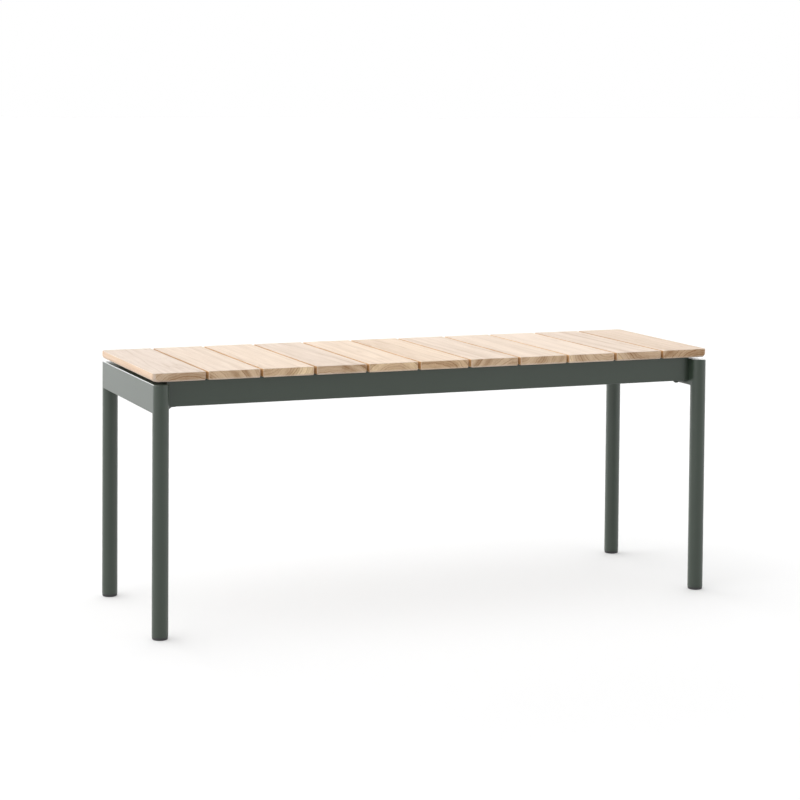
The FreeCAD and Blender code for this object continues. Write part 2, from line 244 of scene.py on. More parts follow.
class BenchFrameSettings(bpy.types.PropertyGroup):
    """Sizes and colours of the metal frame and its feet."""

    leg_radius: FloatProperty(
        name="Leg radius", description="Outer radius of a leg",
        default=LEG_SIZE.x / 2, unit="LENGTH"
    )
    leg_wall: FloatProperty(
        name="Leg wall", description="Wall of the leg tube", default=2.0 * MM, unit="LENGTH"
    )
    rail_wall: FloatProperty(
        name="End rail wall", description="Wall of the end rails", default=2.5 * MM, unit="LENGTH"
    )
    rail_radius: FloatProperty(
        name="End rail edge radius", description="Rounding of the end rails' long edges",
        default=1.1 * MM, unit="LENGTH"
    )
    cap_radius: FloatProperty(
        name="Cap edge radius", description="Rounding round the top of a leg cap",
        default=1.6 * MM, unit="LENGTH"
    )
    weld_width: FloatProperty(
        name="Weld width", description="Width of a weld bead", default=3.2 * MM, unit="LENGTH"
    )
    weld_ripple: FloatProperty(
        name="Weld ripple", description="Distance from ripple to ripple along a weld bead",
        default=1.8 * MM, unit="LENGTH"
    )
    peel_size: FloatProperty(
        name="Orange peel", description="Distance between the ripples of the powder coat",
        default=2.4 * MM, unit="LENGTH"
    )
    paint: FloatVectorProperty(
        name="Powder coat", description="Colour of the powder coat",
        default=linear("#2b362c"), subtype="COLOR"
    )
    glide: FloatVectorProperty(
        name="Glide plastic", description="Colour of the foot glides",
        default=linear("#2b2b2c"), subtype="COLOR"
    )
    steel: FloatVectorProperty(
        name="Stainless steel", description="Colour of the screws",
        default=linear("#b9b6af"), subtype="COLOR"
    )


class BenchStageSettings(bpy.types.PropertyGroup):
    """Camera, lights and floor."""

    lens: FloatProperty(name="Lens", description="Focal length", default=94.31, unit="CAMERA")
    camera_place: FloatVectorProperty(
        name="Camera place", description="Where the camera stands",
        default=(-1.5042, -3.5274, 0.9247), subtype="XYZ_LENGTH"
    )
    camera_turn: FloatProperty(
        name="Camera turn", description="Turn of the view from +Y towards +X",
        default=math.radians(22.22), subtype="ANGLE"
    )
    camera_tilt: FloatProperty(
        name="Camera tilt", description="How far the view looks down",
        default=math.radians(2.58), subtype="ANGLE"
    )
    camera_roll: FloatProperty(
        name="Camera roll", description="Roll of the camera about its view",
        default=math.radians(0.45), subtype="ANGLE"
    )
    camera_shift: FloatVectorProperty(
        name="Lens shift", description="Shift of the lens as a share of the frame",
        default=(0.0285, -0.2687), size=2
    )
    sky_bright: FloatProperty(
        name="Studio light", description="Light from the backdrop behind the bench",
        default=9.0
    )
    key_strength: FloatProperty(
        name="Key light", description="Strength of the broad light from the upper left",
        default=1.17
    )
    fill_strength: FloatProperty(
        name="Fill light", description="Strength of the low light from the front right",
        default=0.42
    )
    floor_glow: FloatProperty(
        name="Floor glow", description="Light that the white floor gives out by itself",
        default=0.215
    )
    floor_colour: FloatVectorProperty(
        name="Floor", description="Colour of the floor", default=linear("#c0c0c0"), subtype="COLOR"
    )


# ---- meshes ----
def mend(mesh, merge=False, turn=False):
    """Merges points that coincide, or turns the faces outwards, or both."""
    work = bmesh.new()
    work.from_mesh(mesh)
    if merge:
        bmesh.ops.remove_doubles(work, verts=work.verts, dist=MERGE_DISTANCE)
    if turn:
        bmesh.ops.recalc_face_normals(work, faces=work.faces)
    work.to_mesh(mesh)
    work.free()
    return mesh


def mesh_from(name, points, faces):
    """A mesh whose faces all point outwards."""
    mesh = bpy.data.meshes.new(name)
    mesh.from_pydata([tuple(point) for point in points], [], faces)
    return mend(mesh, turn=True)


def lofted(name, rings, capped=True, joined=False):
    """A skin over rings of as many points each: capped at both ends, or joined end to end."""
    count = len(rings[0])
    points = np.concatenate(rings)
    faces = []
    steps = len(rings) if joined else len(rings) - 1
    for step in range(steps):
        here = step * count
        above = ((step + 1) % len(rings)) * count
        for index in range(count):
            after = (index + 1) % count
            faces.append((here + index, here + after, above + after, above + index))
    if capped:
        faces.append(tuple(range(count))[::-1])
        faces.append(tuple(range(len(points) - count, len(points))))
    return mesh_from(name, points, faces)


def outline_arcs(half_x, half_y, radii, steps=8):
    """Points and outward normals round a rectangle, with a radius for each of its corners.

    The corners come in the order right-back, left-back, left-front, right-front.
    """
    points = []
    normals = []
    signs = ((1, 1), (-1, 1), (-1, -1), (1, -1))
    for corner, ((sign_x, sign_y), radius) in enumerate(zip(signs, radii)):
        for step in range(steps + 1):
            angle = math.pi / 2 * (corner + step / steps)
            normal = (math.cos(angle), math.sin(angle))
            normals.append(normal)
            points.append((
                sign_x * (half_x - radius) + radius * normal[0],
                sign_y * (half_y - radius) + radius * normal[1],
            ))
    return np.array(points), np.array(normals)


def rounded_block(name, outline, normals, low, high, low_radius, high_radius, steps=5):
    """An upright block on an outline, with its under-edge and top edge rounded.

    Each radius is one number, or one for each point of the outline.
    """
    low_radius = np.broadcast_to(low_radius, len(outline))[:, None]
    high_radius = np.broadcast_to(high_radius, len(outline))[:, None]
    rings = []
    for step in range(steps + 1):
        angle = math.pi / 2 * step / steps
        plan = outline - normals * low_radius * (1 - math.sin(angle))
        rings.append(np.hstack([plan, low + low_radius * (1 - math.cos(angle))]))
    for step in range(steps + 1):
        angle = math.pi / 2 * (1 - step / steps)
        plan = outline - normals * high_radius * (1 - math.sin(angle))
        rings.append(np.hstack([plan, high - high_radius * (1 - math.cos(angle))]))
    return lofted(name, rings)


def turned(name, profile, steps=64):
    """A solid of revolution about Z from a closed loop of (radius, height) points.

    A loop that starts and ends at radius 0 closes on its axis.
    """
    hollow = profile[0][0] > 0
    angles = [2 * math.pi * step / steps for step in range(steps)]
    rings = []
    for radius, height in profile:
        rings.append(np.array([
            (radius * math.cos(angle), radius * math.sin(angle), height) for angle in angles
        ]))
    return mend(lofted(name, rings, capped=False, joined=hollow), merge=True, turn=True)


def arc_points(centre, radius, start, end, steps=6):
    """Points on an arc, with its angles in degrees."""
    points = []
    for step in range(steps + 1):
        angle = math.radians(start + (end - start) * step / steps)
        points.append((centre[0] + radius * math.cos(angle), centre[1] + radius * math.sin(angle)))
    return points


def link(name, mesh):
    item = bpy.data.objects.new(name, mesh)
    bpy.context.scene.collection.objects.link(item)
    return item


def baked(item):
    """Replaces an object's mesh by what its modifiers make of it, and removes them."""
    depsgraph = bpy.context.evaluated_depsgraph_get()
    mesh = bpy.data.meshes.new_from_object(
        item.evaluated_get(depsgraph), preserve_all_data_layers=True, depsgraph=depsgraph
    )
    item.modifiers.clear()
    item.data = mesh
    mesh.name = item.name
    return item


def shaded(item, angle=35):
    """Smooth shading that keeps flat faces flat and corners over the angle crisp."""
    item.data.shade_smooth()
    item.data.set_sharp_from_angle(angle=math.radians(angle))
    modifier = item.modifiers.new("Weighted normals", "WEIGHTED_NORMAL")
    modifier.keep_sharp = True
    return baked(item)


def geometry_tree(name, sockets):
    """A geometry tree with named inputs, the outputs of its input node, and its output node."""
    tree = bpy.data.node_groups.new(name, "GeometryNodeTree")
    tree.interface.new_socket("Geometry", in_out="OUTPUT", socket_type="NodeSocketGeometry")
    for socket_name, kind in sockets:
        tree.interface.new_socket(socket_name, in_out="INPUT", socket_type="NodeSocket" + kind)
    given = tree.nodes.new("NodeGroupInput").outputs
    return tree, given, tree.nodes.new("NodeGroupOutput")


def set_out(tree, shape, points, turn, chosen=True):
    """Sets an object's shape on the chosen points, turned about Z."""
    shown = add_node(tree, "GeometryNodeObjectInfo", {"Object": shape}, "Geometry")
    rotation = add_node(tree, "ShaderNodeCombineXYZ", {"Z": turn})
    return add_node(tree, "GeometryNodeInstanceOnPoints", {
        "Points": points, "Selection": chosen, "Instance": shown, "Rotation": rotation
    })


def close_tree(tree, geometry, material, result):
    """Ends a tree in real geometry with its material."""
    real = add_node(tree, "GeometryNodeRealizeInstances", {0: geometry})
    painted = add_node(tree, "GeometryNodeSetMaterial", {0: real, "Material": material})
    tree.links.new(painted, result.inputs[0])


def grown(name, tree, values):
    """An object whose plain mesh is what the tree makes of the values."""
    item = link(name, bpy.data.meshes.new(name))
    modifier = item.modifiers.new("Build", "NODES")
    modifier.node_group = tree
    for socket in tree.interface.items_tree:
        if socket.item_type == "SOCKET" and socket.in_out == "INPUT":
            modifier[socket.identifier] = values[socket.name]
    return baked(item)


def discard(*items):
    for item in items:
        bpy.data.objects.remove(item)


def settle(piece, nodes):
    """Fixes a finished piece to the frame, in place of its CAD nodes."""
    if not piece.data.polygons:
        raise RuntimeError(f"{piece.name} has no faces")
    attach(piece, BODY)
    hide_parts(*nodes)


# ---- materials ----
def teak(tree, seat):
    """Teak, flat sawn, planed and sanded, left untreated.

    Growth rings run round each board's own pith. They show as fine lines along the top, as arches
    where the board leans through them, and as arcs on the ends, where they are darkest. Fibres and
    pores are about 0.3 mm wide in the wood, and are drawn four or five times as wide to show.
    """
    place = add_node(tree, "ShaderNodeTexCoord", output="Object")
    normal = place.node.outputs["Normal"]
    pith = add_node(tree, "ShaderNodeAttribute", attribute_name="pith", output="Vector")
    look = add_node(tree, "ShaderNodeAttribute", attribute_name="look", output="Vector")
    heartwood = add_node(tree, "ShaderNodeAttribute", attribute_name="heartwood", output="Fac")
    x, y, z = add_node(tree, SPLIT, {0: place}).node.outputs
    pith_x, lean, pith_z = add_node(tree, SPLIT, {0: pith}).node.outputs
    shade, warmth, figure = add_node(tree, SPLIT, {0: look}).node.outputs

    # The pith is added to the place, so that no two boards show the same stretch of noise.
    own_place = add_node(tree, VECTOR_MATH, {0: place, 1: pith}, operation="ADD")
    grains = grown_grains(tree, {
        "wander": (55 * MM, 420 * MM, 55 * MM),
        "ripple": (13 * MM, 160 * MM, 9 * MM),
        "fibre": (1.5 * MM, 70 * MM, 1.5 * MM),
        "pore": (1.2 * MM, 12 * MM, 1.2 * MM),
        "streak": (16 * MM, 520 * MM, 16 * MM),
    }, own_place)

    # End grain is where the surface faces along the board.
    facing = add_node(tree, VECTOR_MATH, {0: normal}, operation="ABSOLUTE")
    facing_x, facing_y, _ = add_node(tree, SPLIT, {0: facing}).node.outputs
    # Along the eased lower edge the end is kept pale: a painted highlight, where the rounding takes
    # light from the bright floor.
    clear_of_floor_highlight = add_node(tree, MAP_RANGE, {
        "Value": z, "From Min": SLAT_UNDERSIDE + 1.5 * MM, "From Max": SLAT_UNDERSIDE + 4 * MM,
        "To Min": 0.1, "To Max": 1.0
    })
    end_grain = add_node(tree, MAP_RANGE, {
        "Value": facing_y, "From Min": 0.82, "From Max": 0.97, "To Max": clear_of_floor_highlight
    })
    # The long edges that face into the gaps get painted shade, a deeper orange where the narrow
    # gaps hide the light. The two at the seat's ends face open air, and get less of it.
    near_end = CAD_BOX[1].x - 20 * MM
    off_middle = add_node(tree, MATH, {0: x}, operation="ABSOLUTE")
    shade_in_gap = add_node(tree, MAP_RANGE, {
        "Value": off_middle, "From Min": near_end - MM, "From Max": near_end + MM,
        "To Min": 1.0, "To Max": 0.4
    })
    gap_wall_shade = add_node(
        tree, MAP_RANGE, {"Value": facing_x, "From Min": 0.75, "From Max": 0.98, "To Max": shade_in_gap}
    )

    # Rings: the distance from the pith line in years of growth. The line leans, and wanders and
    # ripples by a ring or two.
    wander = add_node(tree, SPLIT, {0: grains["wander"].node.outputs["Color"]}).node.outputs
    reach = 2.6 * seat.ring_spacing
    ripple = 1.3 * seat.ring_spacing
    across = add_node(tree, MATH, {0: x, 1: pith_x}, operation="SUBTRACT")
    across = add_node(tree, MATH, {0: wander[0], 1: reach, 2: across}, operation="MULTIPLY_ADD")
    depth = add_node(tree, MATH, {0: z, 1: pith_z}, operation="SUBTRACT")
    depth = add_node(tree, MATH, {0: y, 1: lean, 2: depth}, operation="MULTIPLY_ADD")
    depth = add_node(tree, MATH, {0: wander[2], 1: reach, 2: depth}, operation="MULTIPLY_ADD")
    spoke = add_node(tree, "ShaderNodeCombineXYZ", {0: across, 2: depth})
    radius = add_node(tree, VECTOR_MATH, {0: spoke}, output="Value", operation="LENGTH")
    radius = add_node(
        tree, MATH, {0: grains["ripple"], 1: ripple, 2: radius}, operation="MULTIPLY_ADD"
    )
    years = add_node(tree, MATH, {0: radius, 1: seat.ring_spacing}, operation="DIVIDE")
    year = add_node(tree, MATH, {0: years}, operation="FLOOR")
    season = add_node(tree, MATH, {0: years}, operation="FRACT")
    # Some years' lines are dark and most are faint.
    vigour = add_node(tree, "ShaderNodeTexWhiteNoise", {"W": year}, noise_dimensions="1D")
    vigour = add_node(tree, MATH, {0: vigour, 1: 1.6}, operation="POWER")
    # Runs of dry years make broader, darker bands, about four rings apart.
    run_of_years = add_node(
        tree, MATH, {0: years, 1: 0.28, 2: look.node.outputs["Fac"]}, operation="MULTIPLY_ADD"
    )
    bands = add_node(
        tree, "ShaderNodeTexNoise", {"W": run_of_years, "Scale": 1.0, "Detail": 1.0},
        noise_dimensions="1D"
    )
    bands = add_node(tree, MAP_RANGE, {"Value": bands, "From Min": 0.42, "From Max": 0.7})
    # Sapwood is left on the ends only, as the tops are planed clear of it.
    past_heartwood = add_node(tree, MATH, {0: radius, 1: heartwood}, operation="SUBTRACT")
    in_sapwood = add_node(
        tree, MAP_RANGE,
        {"Value": past_heartwood, "From Min": 0.0, "From Max": 5 * MM, "To Max": end_grain}
    )
    ring = add_node(tree, RAMP, {"Fac": season})
    set_ramp(ring, ((0.0, 1.0), (0.12, 0.75), (0.32, 0.12), (0.88, 0.0), (1.0, 0.7)))
    rings = add_node(tree, MATH, {0: ring, 1: vigour}, operation="MULTIPLY")

    pores = add_node(tree, RAMP, {"Fac": grains["pore"]})
    set_ramp(pores, ((0.58, 0.0), (0.70, 1.0)))
    streaks = add_node(tree, RAMP, {"Fac": grains["streak"]})
    set_ramp(streaks, ((0.48, 0.0), (0.72, 1.0)))

    # Darkness: 0 is pale wood and 1 is a full dark line. Rings show more on a figured board, and
    # rings and bands show most on the ends.
    ring_share = add_node(tree, MATH, {0: figure, 1: 0.3, 2: 0.16}, operation="MULTIPLY_ADD")
    ring_share = add_node(
        tree, MATH, {0: end_grain, 1: 0.55, 2: ring_share}, operation="MULTIPLY_ADD"
    )
    darkness = add_node(tree, MATH, {0: rings, 1: ring_share}, operation="MULTIPLY")
    band_share = add_node(tree, MATH, {0: end_grain, 1: 0.4, 2: 0.16}, operation="MULTIPLY_ADD")
    darkness = add_node(
        tree, MATH, {0: bands, 1: band_share, 2: darkness}, operation="MULTIPLY_ADD"
    )
    fibre = add_node(tree, MATH, {0: grains["fibre"], 1: 0.5}, operation="SUBTRACT")
    streaks = add_node(tree, MATH, {0: streaks, 1: figure}, operation="MULTIPLY")
    for part, share in ((fibre, 0.55), (pores, 0.12), (streaks, 0.35), (shade, 0.3)):
        darkness = add_node(tree, MATH, {0: part, 1: share, 2: darkness}, operation="MULTIPLY_ADD")

    wood = (*seat.teak_rosy, 1)
    for part, colour, blend in (
        (warmth, seat.teak_golden, "MIX"), (in_sapwood, seat.sapwood, "MIX"),
        (darkness, seat.teak_dark, "MIX"), (end_grain, seat.end_tint, "MULTIPLY"),
        # Last comes the painted shade on the long edges in the gaps.
        (gap_wall_shade, seat.gap_shade_colour, "MULTIPLY"),
    ):
        wood = add_node(
            tree, MIX, {MIX_FACTOR: part, MIX_A: wood, MIX_B: (*colour, 1)},
            MIX_RESULT, data_type="RGBA", blend_type=blend
        )

    roughness = add_node(
        tree, MATH, {0: grains["fibre"], 1: 0.2, 2: 0.52}, operation="MULTIPLY_ADD"
    )
    relief = add_node(tree, MATH, {0: pores, 1: -0.6, 2: grains["fibre"]}, operation="MULTIPLY_ADD")
    bump = add_node(
        tree, "ShaderNodeBump", {"Height": relief, "Strength": 0.35, "Distance": 0.15 * MM}
    )
    # Bare sanded wood hardly mirrors the light.
    return add_node(tree, "ShaderNodeBsdfPrincipled", {
        "Base Color": wood, "Roughness": roughness, "IOR": 1.5, "Specular IOR Level": 0.18,
        "Normal": bump,
    })


def powder_coat(tree, settings):
    """Polyester powder coat on aluminium, sprayed dry and baked.

    The colour is even and satin. A faint orange peel and a fine grit break up the highlights. The
    grit is drawn as coarse as it needs to show.
    """
    grains = grown_grains(tree, {
        "peel": (settings.peel_size,) * 3,
        "grit": (settings.peel_size / 6,) * 3,
        "cloud": (60 * MM,) * 3,
    })
    clouding = 0.06
    lighter = (*[value * (1 + clouding) for value in settings.paint], 1)
    darker = (*[value * (1 - clouding) for value in settings.paint], 1)
    colour = add_node(
        tree, MIX, {MIX_FACTOR: grains["cloud"], MIX_A: darker, MIX_B: lighter},
        MIX_RESULT, data_type="RGBA"
    )
    roughness = add_node(tree, MATH, {0: grains["grit"], 1: 0.1, 2: 0.27}, operation="MULTIPLY_ADD")
    relief = add_node(
        tree, MATH, {0: grains["grit"], 1: 0.3, 2: grains["peel"]}, operation="MULTIPLY_ADD"
    )
    bump = add_node(
        tree, "ShaderNodeBump", {"Height": relief, "Strength": 0.25, "Distance": 0.05 * MM}
    )
    return add_node(tree, "ShaderNodeBsdfPrincipled", {
        "Base Color": colour, "Roughness": roughness, "IOR": 1.57, "Normal": bump,
    })


def polyethylene(tree, settings):
    """Polyethylene, injection moulded in a spark-eroded tool.

    Matt, with a fine even grain and faint paler scuffs.
    """
    grains = grown_grains(tree, {
        "spark": (0.5 * MM,) * 3,
        "scuff": (6 * MM, 6 * MM, 1.5 * MM),
    })
    scuffed = (*[value * 1.5 for value in settings.glide], 1)
    colour = add_node(tree, MIX, {
        MIX_FACTOR: grains["scuff"], MIX_A: (*settings.glide, 1), MIX_B: scuffed
    }, MIX_RESULT, data_type="RGBA")
    roughness = add_node(
        tree, MATH, {0: grains["spark"], 1: 0.15, 2: 0.5}, operation="MULTIPLY_ADD"
    )
    bump = add_node(
        tree, "ShaderNodeBump", {"Height": grains["spark"], "Strength": 0.3, "Distance": 0.05 * MM}
    )
    return add_node(tree, "ShaderNodeBsdfPrincipled", {
        "Base Color": colour, "Roughness": roughness, "IOR": 1.5, "Normal": bump,
    })


def stainless_steel(tree, settings):
    """Stainless steel, cold headed: dull metal with faint drawn lines."""
    grains = grown_grains(tree, {"drawn": (0.3 * MM, 0.3 * MM, 2.5 * MM)})
    worked = (*[value * 0.85 for value in settings.steel], 1)
    colour = add_node(tree, MIX, {
        MIX_FACTOR: grains["drawn"], MIX_A: worked, MIX_B: (*settings.steel, 1)
    }, MIX_RESULT, data_type="RGBA")
    roughness = add_node(
        tree, MATH, {0: grains["drawn"], 1: 0.18, 2: 0.26}, operation="MULTIPLY_ADD"
    )
    return add_node(tree, "ShaderNodeBsdfPrincipled", {
        "Base Color": colour, "Roughness": roughness, "Metallic": 1.0,
    })


def paint_of(context):
    return material_from("powder_coat_satin", powder_coat, context.scene.bench_frame)


# ---- seat ----
# One row for each board from left to right, in millimetres: its pith's place across and above the
# board's middle, its lean over a metre, and the radius of its heartwood. Then how dark, how golden
# and how strongly figured it is, from 0 to 1.
BOARDS = (
    (22, -64, 30, 200, 0.40, 0.05, 0.60),
    (-70, -52, -22, 200, 0.26, 0.45, 0.45),
    (-40, 38, 26, 62, 0.20, 0.65, 0.50),
    (-20, -90, 38, 200, 0.34, 0.30, 0.90),
    (8, -26, -30, 48, 0.22, 0.80, 0.55),
    (-18, -48, 16, 200, 0.36, 0.90, 0.60),
    (64, -58, -28, 200, 0.20, 0.40, 0.70),
    (-50, 44, 20, 200, 0.18, 0.50, 0.50),
    (40, 46, -34, 84, 0.00, 0.40, 0.45),
    (36, 52, 24, 86, 0.36, 0.30, 0.80),
    (40, -58, 18, 200, 0.80, 0.60, 0.60),
)


def slat_shape(name, seat, outward):
    """A slat centred on X and Y: the left end slat where outward is -1, a middle one at 0.

    The fuller rounding under the seat's end takes over from the slat's own round its corners.
    """
    takeover = 1.9
    width, length, thickness = seat.slat_size
    plain = seat.corner_radius
    outer = seat.seat_corner_radius if outward else plain
    outline, normals = outline_arcs(width / 2, length / 2, (plain, outer, outer, plain))
    outboard = np.clip(takeover * normals[:, 0] * outward, 0, 1) ** 2
    low_radius = seat.bottom_radius + (seat.seat_end_radius - seat.bottom_radius) * outboard
    low = SLAT_CENTRE.z - thickness / 2
    block = rounded_block(name, outline, normals, low, low + thickness, low_radius, seat.top_radius)
    return link(name, block)


def slat_tree():
    """Lays slats in a row, with an end slat at both ends, the right one turned round."""
    tree, given, result = geometry_tree("slats in a row", (
        ("Slat", "Object"), ("End slat", "Object"), ("Count", "Int"), ("Pitch", "Float"),
        ("Material", "Material"),
    ))
    last = add_node(tree, MATH, {0: given["Count"], 1: 1.0}, operation="SUBTRACT")
    row_length = add_node(tree, MATH, {0: last, 1: given["Pitch"]}, operation="MULTIPLY")
    start = add_node(tree, MATH, {0: row_length, 1: -0.5}, operation="MULTIPLY")
    row = add_node(tree, "GeometryNodeMeshLine", {
        "Count": given["Count"],
        "Start Location": add_node(tree, "ShaderNodeCombineXYZ", {"X": start}),
        "Offset": add_node(tree, "ShaderNodeCombineXYZ", {"X": given["Pitch"]}),
    })
    index = add_node(tree, "GeometryNodeInputIndex")
    row = add_node(
        tree, "GeometryNodeStoreNamedAttribute", {0: row, "Name": "board", "Value": index},
        data_type="INT", domain="POINT"
    )
    is_first = add_node(
        tree, "FunctionNodeCompare", {2: index, 3: 0}, data_type="INT", operation="EQUAL"
    )
    is_last = add_node(
        tree, "FunctionNodeCompare", {2: index, 3: last}, data_type="INT", operation="EQUAL"
    )
    at_end = add_node(tree, "FunctionNodeBooleanMath", {0: is_first, 1: is_last}, operation="OR")
    between = add_node(tree, "FunctionNodeBooleanMath", {0: at_end}, operation="NOT")
    half_turn = add_node(tree, MATH, {0: is_last, 1: math.pi}, operation="MULTIPLY")
    middle = set_out(tree, given["Slat"], row, 0.0, between)
    ends = set_out(tree, given["End slat"], row, half_turn, at_end)
    seat = add_node(tree, "GeometryNodeJoinGeometry", {0: middle})
    tree.links.new(ends, seat.node.inputs[0])
    close_tree(tree, seat, given["Material"], result)
    return tree


def store_board_looks(mesh, seat):
    """Gives every point the pith and the look of the board that it belongs to."""
    boards = np.empty(len(mesh.vertices), np.int32)
    mesh.attributes["board"].data.foreach_get("value", boards)
    table = np.array(BOARDS)[boards % len(BOARDS)]
    middle = (boards - (seat.slat_count - 1) / 2) * seat.slat_pitch
    pith = np.column_stack([
        middle + table[:, 0] * MM, table[:, 2] * MM, SLAT_CENTRE.z + table[:, 1] * MM
    ])
    for name, values in (("pith", pith), ("look", table[:, 4:])):
        attribute = mesh.attributes.new(name, "FLOAT_VECTOR", "POINT")
        attribute.data.foreach_set("vector", values.astype(np.float32).ravel())
    heartwood = mesh.attributes.new("heartwood", "FLOAT", "POINT")
    heartwood.data.foreach_set("value", (table[:, 3] * MM).astype(np.float32))


class BENCH_OT_seat_slats(bpy.types.Operator):
    """Lay the teak slats across the long rails"""

    bl_idname = "bench.seat_slats"
    bl_label = "Seat slats"

    def execute(self, context):
        seat = context.scene.bench_seat
        slat = slat_shape("slat_pattern", seat, 0)
        end_slat = slat_shape("end_slat_pattern", seat, -1)
        piece = grown("seat_slats", slat_tree(), {
            "Slat": slat, "End slat": end_slat, "Count": seat.slat_count,
            "Pitch": seat.slat_pitch,
            "Material": material_from("teak_planed_untreated", teak, seat),
        })
        discard(slat, end_slat)
        shaded(piece)
        store_board_looks(piece.data, seat)
        settle(piece, SLAT_NODES)
        return {"FINISHED"}


class BENCH_OT_slat_screws(bpy.types.Operator):
    """Finish the slat screws and the nut plates in bare steel"""

    bl_idname = "bench.slat_screws"
    bl_label = "Slat screws"

    def execute(self, context):
        steel = material_from("stainless_cold_headed", stainless_steel, context.scene.bench_frame)
        for node in ("slat_screws", "nut_plates"):
            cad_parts[node].material_slots[0].material = steel
        return {"FINISHED"}


# ---- frame ----
def corner_tree():
    """Sets a shape at the bench's four corners; the right-hand two are turned round."""
    tree, given, result = geometry_tree("at four corners", (
        ("Shape", "Object"), ("Span X", "Float"), ("Span Y", "Float"), ("Material", "Material"),
    ))
    corners = add_node(tree, "GeometryNodeMeshGrid", {
        "Size X": given["Span X"], "Size Y": given["Span Y"], "Vertices X": 2, "Vertices Y": 2
    })
    place = add_node(tree, "GeometryNodeInputPosition")
    place_x = add_node(tree, SPLIT, {0: place}, "X")
    on_right = add_node(tree, MATH, {0: place_x, 1: 0.0}, operation="GREATER_THAN")
    half_turn = add_node(tree, MATH, {0: on_right, 1: math.pi}, operation="MULTIPLY")
    placed = set_out(tree, given["Shape"], corners, half_turn)
    close_tree(tree, placed, given["Material"], result)
    return tree


def at_corners(name, mesh, node, material, nodes):
    """A piece made of one shape at each corner, as far from the middle as the node stands."""
    shape = link(name + "_pattern", mesh)
    tree = bpy.data.node_groups.get("at four corners") or corner_tree()
    centre = node_centre(node)
    piece = grown(name, tree, {
        "Shape": shape, "Span X": 2 * abs(centre.x), "Span Y": 2 * abs(centre.y),
        "Material": material,
    })
    discard(shape)
    settle(shaded(piece), nodes)


class BENCH_OT_legs(bpy.types.Operator):
    """Stand the four tube legs and close their tops with caps"""

    bl_idname = "bench.legs"
    bl_label = "Legs and caps"

    def execute(self, context):
        settings = context.scene.bench_frame
        paint = paint_of(context)
        radius = settings.leg_radius
        bore = radius - settings.leg_wall
        low, high = (corner.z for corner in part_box("leg_back_right"))
        tube = turned("leg_tubes", [(radius, low), (radius, high), (bore, high), (bore, low)])
        at_corners("leg_tubes", tube, "leg_back_right", paint, corner_nodes("leg"))
        cap_low, cap_high = (corner.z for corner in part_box("leg_cap_back_right"))
        edge = settings.cap_radius
        rim = arc_points((radius - edge, cap_high - edge), edge, 0, 90)
        spigot = bore - SPIGOT_GAP
        cap = turned("leg_caps", [
            (0, cap_low), (spigot, cap_low), (spigot, high), (radius, high), *rim, (0, cap_high)
        ])
        at_corners(
            "leg_caps", cap, "leg_cap_back_right", paint, corner_nodes("leg_cap")
        )
        return {"FINISHED"}


class BENCH_OT_foot_glides(bpy.types.Operator):
    """Press the plastic glides into the legs"""

    bl_idname = "bench.foot_glides"
    bl_label = "Foot glides"

    def execute(self, context):
        settings = context.scene.bench_frame
        plastic = material_from("polyethylene_moulded", polyethylene, settings)
        size = node_size("foot_glide_back_right")
        tube_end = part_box("leg_back_right")[0].z
        radius = size.x / 2
        edge = 2.0 * MM
        bevel = 0.3 * MM
        core = 7.5 * MM
        hollow = 8.0 * MM
        hollow_slope = 1.0 * MM
        hollow_depth = 0.8 * MM
        rim = arc_points((radius - edge, edge), edge, -90, 0)
        glide = turned("foot_glides", [
            (0, hollow_depth), (hollow - hollow_slope, hollow_depth), (hollow, 0), *rim,
            (radius, tube_end - bevel), (radius - bevel, tube_end),
            (core, tube_end), (core, size.z), (0, size.z)
        ])
        at_corners(
            "foot_glides", glide, "foot_glide_back_right", plastic,
            corner_nodes("foot_glide")
        )
        return {"FINISHED"}


def tube_section(half_x, half_z, radius, across=16, steps=4):
    """Points round a rectangular tube, close enough across its top to follow a leg's curve."""
    outline, _ = outline_arcs(half_x, half_z, (radius,) * 4, steps)
    points = []
    for index, point in enumerate(outline):
        after = outline[(index + 1) % len(outline)]
        pieces = across if abs(after[0] - point[0]) > half_x else 1
        for piece in range(pieces):
            points.append(point + (after - point) * piece / pieces)
    return np.array(points)


def coped_rail(name, node, leg_y, leg_radius, wall, radius):
    """An end rail whose ends follow the round of the legs, with sharper edges inside."""
    size = node_size(node)
    centre = node_centre(node)
    rings = []
    for inset, edge, signs in ((0, radius, (-1, 1)), (wall, radius / 4, (1, -1))):
        section = tube_section(size.x / 2 - inset, size.z / 2 - inset, edge)
        reach = leg_y - np.sqrt(np.clip(leg_radius ** 2 - section[:, 0] ** 2, 0, None))
        for sign in signs:
            rings.append(np.column_stack(
                [centre.x + section[:, 0], sign * reach, centre.z + section[:, 1]]
            ))
    return lofted(name, rings, capped=False, joined=True)


def coat(mesh, node, context):
    """Paints a mesh and settles it in place of a CAD node."""
    mesh.materials.append(paint_of(context))
    settle(shaded(link(mesh.name, mesh)), [node])


class BENCH_OT_end_rails(bpy.types.Operator):
    """Fit the deep end rails between the legs"""

    bl_idname = "bench.end_rails"
    bl_label = "End rails"

    def execute(self, context):
        settings = context.scene.bench_frame
        for end in ENDS:
            node = "end_rail_" + end
            mesh = coped_rail(
                node + "_coped", node, LEG_CENTRE.y, settings.leg_radius, settings.rail_wall,
                settings.rail_radius
            )
            coat(mesh, node, context)
        return {"FINISHED"}


def merged_copy(node, name):
    """The CAD node's own shape as a joined-up mesh, for even shading."""
    mesh = mend(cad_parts[node].data.copy(), merge=True)
    mesh.materials.clear()
    mesh.name = name
    return mesh


class BENCH_OT_long_rails(bpy.types.Operator):
    """Finish the long rails and the stretcher between them"""

    bl_idname = "bench.long_rails"
    bl_label = "Long rails and stretcher"

    def execute(self, context):
        for node in ("long_rail_front", "long_rail_back", "cross_stretcher"):
            coat(merged_copy(node, node + "_coated"), node, context)
        return {"FINISHED"}


